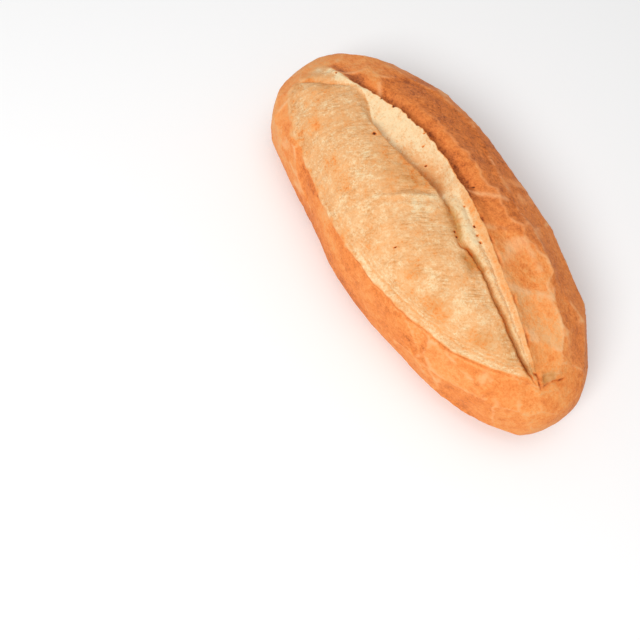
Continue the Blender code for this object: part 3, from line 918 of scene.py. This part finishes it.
def blush(s):
    """How peach the crust is, from 0 to 1: most along the facets' edges."""
    patches = BLUSH_OF_PATCH * smooth_step(*BLUSH_PATCHES, cloud(s.warped, *BLUSH_CLOUD))
    pale_facets = BLUSH_OF_FACET * smooth_step(*BLUSH_FACETS, s.facet_tone)
    wide = np.clip(patches + pale_facets + BLUSH_OF_ROLL * s.rolled, 0, 1)
    on_lines = np.maximum(s.edge_lines, s.crest)
    return np.clip(WIDE_BLUSH * wide + LINE_BLUSH * on_lines, 0, 1) * s.crust


def tan_and_shade_level(s):
    """How olive-tan each place is, from 0 to 1, with painted shade in the hollows and along the groove."""
    shades = spots(s, SHADES) * (SHADE_STRENGTH + cloud(s.points, *SHADE_CLOUD))
    # Painted shade along the groove where the score is closed.
    groove = bump(*GROOVE_SHADE, s.from_groove) * s.scored * s.closed
    return np.clip(shades + groove, 0, 1)


# Mesh ------------------------------------------------------------------------------------


def add_layer(mesh, name, values):
    layer = mesh.attributes.new(name, "FLOAT", "POINT")
    layer.data.foreach_set("value", np.ascontiguousarray(values, dtype=np.float32))


def make_loaf():
    """A sphere's rings and columns, moved onto the surface, with its layers for the material."""
    s = Surface()
    points = s.points + s.normals * relief(s)[..., None]
    layers = {"bake_and_shade": bake_and_shade_level(s), "flap": s.flap, "recess": s.recess, "blush": blush(s),
              "dull": tan_and_shade_level(s)}

    bm = bmesh.new()
    bmesh.ops.create_uvsphere(bm, u_segments=COLUMNS, v_segments=RINGS, radius=1)
    mesh = bpy.data.meshes.new("bread_loaf")
    bm.to_mesh(mesh)
    bm.free()
    ball = np.zeros(len(mesh.vertices) * 3, np.float32)
    mesh.vertices.foreach_get("co", ball)
    ball = ball.reshape(-1, 3)
    ring = np.rint(np.arccos(np.clip(ball[:, 2], -1, 1)) / math.pi * RINGS).astype(int)
    steps_round = np.arctan2(ball[:, 1], ball[:, 0]) / math.tau * COLUMNS
    column = np.floor(steps_round + 0.25).astype(int) % COLUMNS  # whole or half steps, by COLUMNS

    place = points[ring, column]
    middle = (place.max(axis=0) + place.min(axis=0)) / 2
    place = place - (middle[0], middle[1], 0)
    mesh.vertices.foreach_set("co", place.astype(np.float32).ravel())
    for name, values in layers.items():
        add_layer(mesh, name, values[ring, column])
    mesh.update()
    mesh.shade_smooth()

    loaf = bpy.data.objects.new("bread_loaf", mesh)
    bpy.context.scene.collection.objects.link(loaf)
    return loaf


# Materials -------------------------------------------------------------------------------


class Nodes:
    """Short calls for building a material's node tree."""

    def __init__(self, name):
        self.material = bpy.data.materials.new(name)
        self.material.use_nodes = True
        self.tree = self.material.node_tree
        self.shader = self.tree.nodes["Principled BSDF"]

    def add(self, kind, **settings):
        node = self.tree.nodes.new(kind)
        for key, value in settings.items():
            setattr(node, key, value)
        return node

    def link(self, source, target):
        self.tree.links.new(source, target)

    def math(self, operation, first, second, clamp=False):
        node = self.add("ShaderNodeMath", operation=operation, use_clamp=clamp)
        for socket, value in zip(node.inputs, (first, second)):
            if isinstance(value, (int, float)):
                socket.default_value = value
            else:
                self.link(value, socket)
        return node.outputs[0]

    def plus(self, first, second, clamp=False):
        return self.math("ADD", first, second, clamp)

    def minus(self, first, second):
        return self.math("SUBTRACT", first, second)

    def times(self, first, second, clamp=False):
        return self.math("MULTIPLY", first, second, clamp)

    def layer(self, name):
        return self.add("ShaderNodeAttribute", attribute_name=name).outputs["Fac"]

    def noise(self, place, size, detail, roughness, distortion=0.0):
        node = self.add("ShaderNodeTexNoise")
        node.inputs["Scale"].default_value = 1 / size
        node.inputs["Detail"].default_value = detail
        node.inputs["Roughness"].default_value = roughness
        node.inputs["Distortion"].default_value = distortion
        self.link(place, node.inputs["Vector"])
        return node.outputs["Fac"]

    def mottle(self, place, kind):
        """Noise about 0, for adding to the browning."""
        return self.minus(self.noise(place, *kind), 0.5)

    def stretched(self, place, turn, size):
        """Coordinates turned about Z, in which lumps have this size along each axis."""
        turned = self.add("ShaderNodeVectorRotate", rotation_type="Z_AXIS")
        turned.inputs["Angle"].default_value = turn
        self.link(place, turned.inputs["Vector"])
        scaled = self.add("ShaderNodeVectorMath", operation="DIVIDE")
        self.link(turned.outputs[0], scaled.inputs[0])
        scaled.inputs[1].default_value = size
        return scaled.outputs[0]

    def mixed(self, share, first, second, kind="MIX"):
        node = self.add("ShaderNodeMix", data_type="RGBA", blend_type=kind)
        share_in, first_in, second_in = node.inputs[0], node.inputs[6], node.inputs[7]
        self.link(share, share_in)
        self.link(first, first_in)
        second_in.default_value = second
        return node.outputs[2]

    def ramp(self, value, stops):
        node = self.add("ShaderNodeValToRGB")
        elements = node.color_ramp.elements
        while len(elements) < len(stops):
            elements.new(0.5)
        for element, (position, colour) in zip(elements, stops):
            element.position = position
            element.color = (*colour, 1)
        self.link(value, node.inputs["Fac"])
        return node.outputs["Color"]


def crust_browning_and_shade(n, place, paleness, specks, streaks):
    """The baked level, with its painted light and shade, and mottles, flecks, specks and streaks."""
    region = n.plus(n.noise(place, *REGIONS), REGION_START)
    strength = n.times(n.plus(n.times(paleness, PALE_MOTTLING), CRUST_MOTTLING), region)
    mottles = n.times(n.mottle(place, MOTTLES), MOTTLE_SHARE)
    flecks = n.times(n.mottle(place, FLECKS), FLECK_SHARE)
    change = n.plus(n.plus(mottles, flecks), n.times(specks, SPECK_SHARE))
    return n.plus(n.layer("bake_and_shade"), n.plus(n.times(change, strength), streaks))


def crust_bumps(n, place, streaks):
    """Normals of fine pebbles, grain and streaks."""
    pebbles = n.add("ShaderNodeTexVoronoi", feature="SMOOTH_F1")
    pebbles.inputs["Scale"].default_value = 1 / PEBBLE_SIZE
    pebbles.inputs["Smoothness"].default_value = PEBBLE_SMOOTHNESS
    n.link(place, pebbles.inputs["Vector"])
    height = n.times(pebbles.outputs["Distance"], PEBBLE_BUMP)
    height = n.plus(height, n.times(n.noise(place, *GRAIN), GRAIN_BUMP))
    height = n.plus(height, n.noise(place, *LUMPS))
    height = n.plus(height, n.times(streaks, STREAK_BUMP))
    bumps = n.add("ShaderNodeBump")
    bumps.inputs["Strength"].default_value = BUMP_STRENGTH
    bumps.inputs["Distance"].default_value = BUMP_HEIGHT
    n.link(height, bumps.inputs["Height"])
    return bumps.outputs["Normal"]


def crust_material():
    """Crust and crumb in one material, told apart by the mesh's own layers."""
    n = Nodes("bread_crust")
    place = n.add("ShaderNodeTexCoord").outputs["Object"]
    on_flap = n.layer("flap")
    paleness = n.plus(on_flap, n.layer("recess"), clamp=True)
    specks = n.mottle(place, SPECKS)
    patchy = n.times(n.minus(n.noise(place, *PATCHES), PATCH_START), PATCH_GAIN, clamp=True)
    streaked = n.times(on_flap, patchy)
    wrinkled = n.noise(n.stretched(place, STREAKS_TURN, STREAKS_SIZE), *STREAKS)
    streaks = n.times(n.minus(wrinkled, 0.5), n.times(streaked, STREAK_SHARE))

    level = crust_browning_and_shade(n, place, paleness, specks, streaks)
    colour = n.mixed(n.layer("blush"), n.ramp(level, BREAD_COLOURS), BLUSH_COLOUR)
    furrows = n.minus(wrinkled, FURROW_START)
    furrows = n.times(furrows, n.times(streaked, FURROW_GAIN), clamp=True)
    dots = n.times(n.minus(specks, DOT_START), n.times(paleness, DOT_GAIN), clamp=True)
    dull = n.plus(n.times(furrows, FURROW_SHARE), n.times(dots, DOT_SHARE))
    # Add the mesh's olive-tan layer, which holds painted shade in the hollows.
    dull = n.plus(n.layer("dull"), dull, clamp=True)
    n.link(n.mixed(dull, colour, TAN_AND_SHADE_COLOUR, "MULTIPLY"), n.shader.inputs["Base Color"])
    roughness = n.plus(n.times(level, GLOSS_OF_BROWNING), ROUGHEST)
    n.link(roughness, n.shader.inputs["Roughness"])
    n.link(crust_bumps(n, place, streaks), n.shader.inputs["Normal"])
    n.shader.inputs["Specular IOR Level"].default_value = SPECULAR
    return n.material


def floor_material():
    n = Nodes("pale_floor")
    n.shader.inputs["Base Color"].default_value = FLOOR_COLOUR
    n.shader.inputs["Roughness"].default_value = FLOOR_ROUGHNESS
    n.shader.inputs["Specular IOR Level"].default_value = FLOOR_SPECULAR
    return n.material


# Stage -----------------------------------------------------------------------------------


def make_floor():
    bpy.ops.mesh.primitive_plane_add(size=FLOOR_SIZE)
    floor = bpy.context.object
    floor.name = "floor"
    floor.data.materials.append(floor_material())


def make_light(name, place, size, power):
    """A round lamp that points at the loaf."""
    lamp = bpy.data.lights.new(name, "AREA")
    lamp.shape = "DISK"
    lamp.size = size
    lamp.energy = power
    light = bpy.data.objects.new(name, lamp)
    light.location = place
    light.rotation_euler = (-Vector(place)).to_track_quat("-Z", "Y").to_euler()
    bpy.context.scene.collection.objects.link(light)


def make_lights():
    for name, settings in LAMPS.items():
        make_light(name, *settings)
    world = bpy.data.worlds.new("studio")
    bpy.context.scene.world = world
    world.use_nodes = True
    background = world.node_tree.nodes["Background"]
    background.inputs["Color"].default_value = WORLD_COLOUR
    background.inputs["Strength"].default_value = WORLD_STRENGTH
    bpy.context.scene.view_settings.view_transform = "Standard"


def make_camera():
    data = bpy.data.cameras.new("camera")
    data.lens = CAMERA_LENS
    data.sensor_width = SENSOR_WIDTH
    camera = bpy.data.objects.new("camera", data)
    right, up = Vector(CAMERA_RIGHT), Vector(CAMERA_UP)
    turn = Matrix((right, up, right.cross(up))).transposed()
    camera.matrix_world = Matrix.Translation(CAMERA_PLACE) @ turn.to_4x4()
    bpy.context.scene.collection.objects.link(camera)
    bpy.context.scene.camera = camera


loaf = make_loaf()
loaf.data.materials.append(crust_material())
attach(loaf, "root")
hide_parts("loaf")
make_floor()
make_lights()
make_camera()
